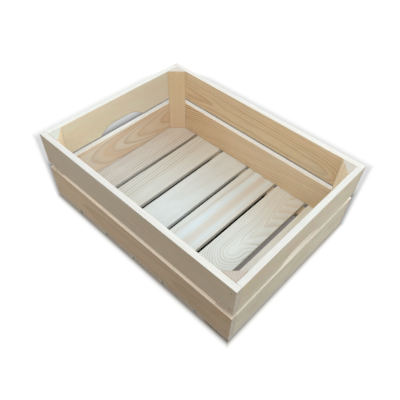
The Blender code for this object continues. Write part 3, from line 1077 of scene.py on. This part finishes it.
def opening(across, along):
    """The two ends of the shadow, whose edges grow softer with the distance from the crate."""
    width = t.math("MULTIPLY_ADD", t.math("MAXIMUM", along, 0.0), 0.045, 0.006)
    return t.ramp(
        t.span(t.math("DIVIDE", across, width), -0.6, 1.4),
        [(0.0, 0.0), (0.3, 0.30), (0.5, 0.55), (0.75, 0.88), (1.0, 1.0)],
    )


# Painted shade on the paper: black under the slats, lighter under the right-hand slat gap, the painted shadow and its
# two ends, and painted contact shade along the front and right sides.
level = lighter(
    t.mix(
        1.0,
        t.ramp(t.span(fx, 0.095, 0.125), [(0.0, 0.0), (1.0, (0.215, 0.20, 0.19))]),
        fade(past_back, (-8, 1.0), (0, 0.0)),
        "DARKEN",
    ),
    shadow,
    opening(signed(-0.369, -0.929, 0.2118), signed(-0.929, 0.369, 0.1310)),
    opening(signed(0.971, 0.239, 0.2297), signed(-0.239, 0.971, 0.0964)),
    fade(
        signed(0, -1, 0.1446),
        (-13, 0.0), (-9, (0.13, 0.12, 0.11)), (-2.5, (0.16, 0.15, 0.135)), (-0.5, (0.22, 0.20, 0.18)), (1.5, (0.36, 0.335, 0.31)),
        (3, (0.54, 0.525, 0.50)), (5, (0.77, 0.76, 0.745)), (8, 0.94), (12, 1.0),
    ),
    fade(
        signed(1, 0, 0.1972),
        (-4, 0.0), (-3.5, (0.22, 0.20, 0.18)), (-0.5, (0.29, 0.27, 0.24)), (1.5, (0.47, 0.45, 0.41)),
        (3, (0.69, 0.67, 0.64)), (5, (0.875, 0.87, 0.85)), (8, 0.98), (10, 1.0),
    ),
)
grain = t.noise(t.scaled(t.add("ShaderNodeTexCoord").outputs["Object"], (60, 60, 60)), 3.0)
paper = t.mix(grain, (0.11, 0.11, 0.11), (0.13, 0.13, 0.13))
paper = t.mix(1.0, paper, level, "MULTIPLY")
outside = t.span(t.math("MAXIMUM", t.math("SUBTRACT", t.math("ABSOLUTE", fx), 0.2), t.math("SUBTRACT", t.math("ABSOLUTE", fy), 0.1485)), -0.008, 0.006, soft=True)
hidden = t.mix(outside, (0.34, 0.30, 0.25), (0.20, 0.20, 0.20))
t.put(t.mix(seen, hidden, paper), t.shader.inputs["Base Color"])
t.shader.inputs["Roughness"].default_value = 0.9
t.shader.inputs["Specular IOR Level"].default_value = 0.0
# For camera rays the paper glows with its painted level, so the painted shade shows whatever the lamps do.
t.put(level, t.shader.inputs["Emission Color"])
t.put(t.math("MULTIPLY", seen, 0.93), t.shader.inputs["Emission Strength"])
clear_below = t.add("ShaderNodeBsdfTransparent")
both = t.add("ShaderNodeMixShader")
t.put(t.add("ShaderNodeNewGeometry").outputs["Backfacing"], both.inputs[0])
t.put(t.shader.outputs[0], both.inputs[1])
t.put(clear_below.outputs[0], both.inputs[2])
t.put(both.outputs[0], t.out.inputs["Surface"])
floor_mesh.materials.append(t.mat)

world = bpy.data.worlds.new("studio")
world.use_nodes = True
nodes, links = world.node_tree.nodes, world.node_tree.links
nodes.clear()
out = nodes.new("ShaderNodeOutputWorld")
fill, seen_sky, mix = (
    nodes.new("ShaderNodeBackground"),
    nodes.new("ShaderNodeBackground"),
    nodes.new("ShaderNodeMixShader"),
)
path = nodes.new("ShaderNodeLightPath")
fill.inputs["Color"].default_value = (0.94, 0.975, 1.0, 1)
fill.inputs["Strength"].default_value = 0.72
seen_sky.inputs["Color"].default_value = (1, 1, 1, 1)
seen_sky.inputs["Strength"].default_value = 1.0
links.new(path.outputs["Is Camera Ray"], mix.inputs[0])
links.new(fill.outputs[0], mix.inputs[1])
links.new(seen_sky.outputs[0], mix.inputs[2])
links.new(mix.outputs[0], out.inputs["Surface"])
scene.world = world


def area_light(name, at, size, watts, colour):
    data = bpy.data.lights.new(name, "AREA")
    data.shape = "DISK"
    data.size = size
    data.energy = watts
    data.color = colour
    light = bpy.data.objects.new(name, data)
    light.location = at
    light.rotation_mode = "QUATERNION"
    light.rotation_quaternion = (-Vector(at)).to_track_quat("-Z", "Y")
    scene.collection.objects.link(light)


area_light("key_softbox", (1.1, -0.9, 2.6), 1.6, 20.0, (0.97, 0.985, 1.0))
area_light("back_softbox", (-0.5, 2.5, 1.05), 0.9, 30.0, (1.0, 0.99, 0.97))
area_light("side_softbox", (2.5, -0.4, 1.1), 1.5, 16.0, (1.0, 0.99, 0.97))

cam_data = bpy.data.cameras.new("camera")
cam = bpy.data.objects.new("camera", cam_data)
scene.collection.objects.link(cam)
azimuth, elevation, roll = math.radians(41.022), math.radians(50.661), math.radians(2.7925)
back = Vector(
    (
        math.sin(azimuth) * math.cos(elevation),
        -math.cos(azimuth) * math.cos(elevation),
        math.sin(elevation),
    )
)
right = (-back).cross(Vector((0, 0, 1))).normalized()
up = right.cross(-back)
tilted = math.cos(roll) * right + math.sin(roll) * up
upright = -math.sin(roll) * right + math.cos(roll) * up
cam.matrix_world = Matrix.Translation(Vector((0.32464, -0.35723, 0.56670))) @ Matrix(
    (tilted, upright, back)
).transposed().to_4x4()
cam_data.sensor_width = 36.0
cam_data.lens = 36.0 * 415.606 / 400.0
cam_data.shift_x = -0.0072
cam_data.shift_y = 0.0530
cam_data.clip_start = 0.01
cam_data.clip_end = 100.0
scene.camera = cam

scene.view_settings.view_transform = "Standard"
scene.view_settings.look = "None"
scene.view_settings.exposure = 0.0
scene.view_settings.gamma = 1.0

bpy.context.view_layer.update()
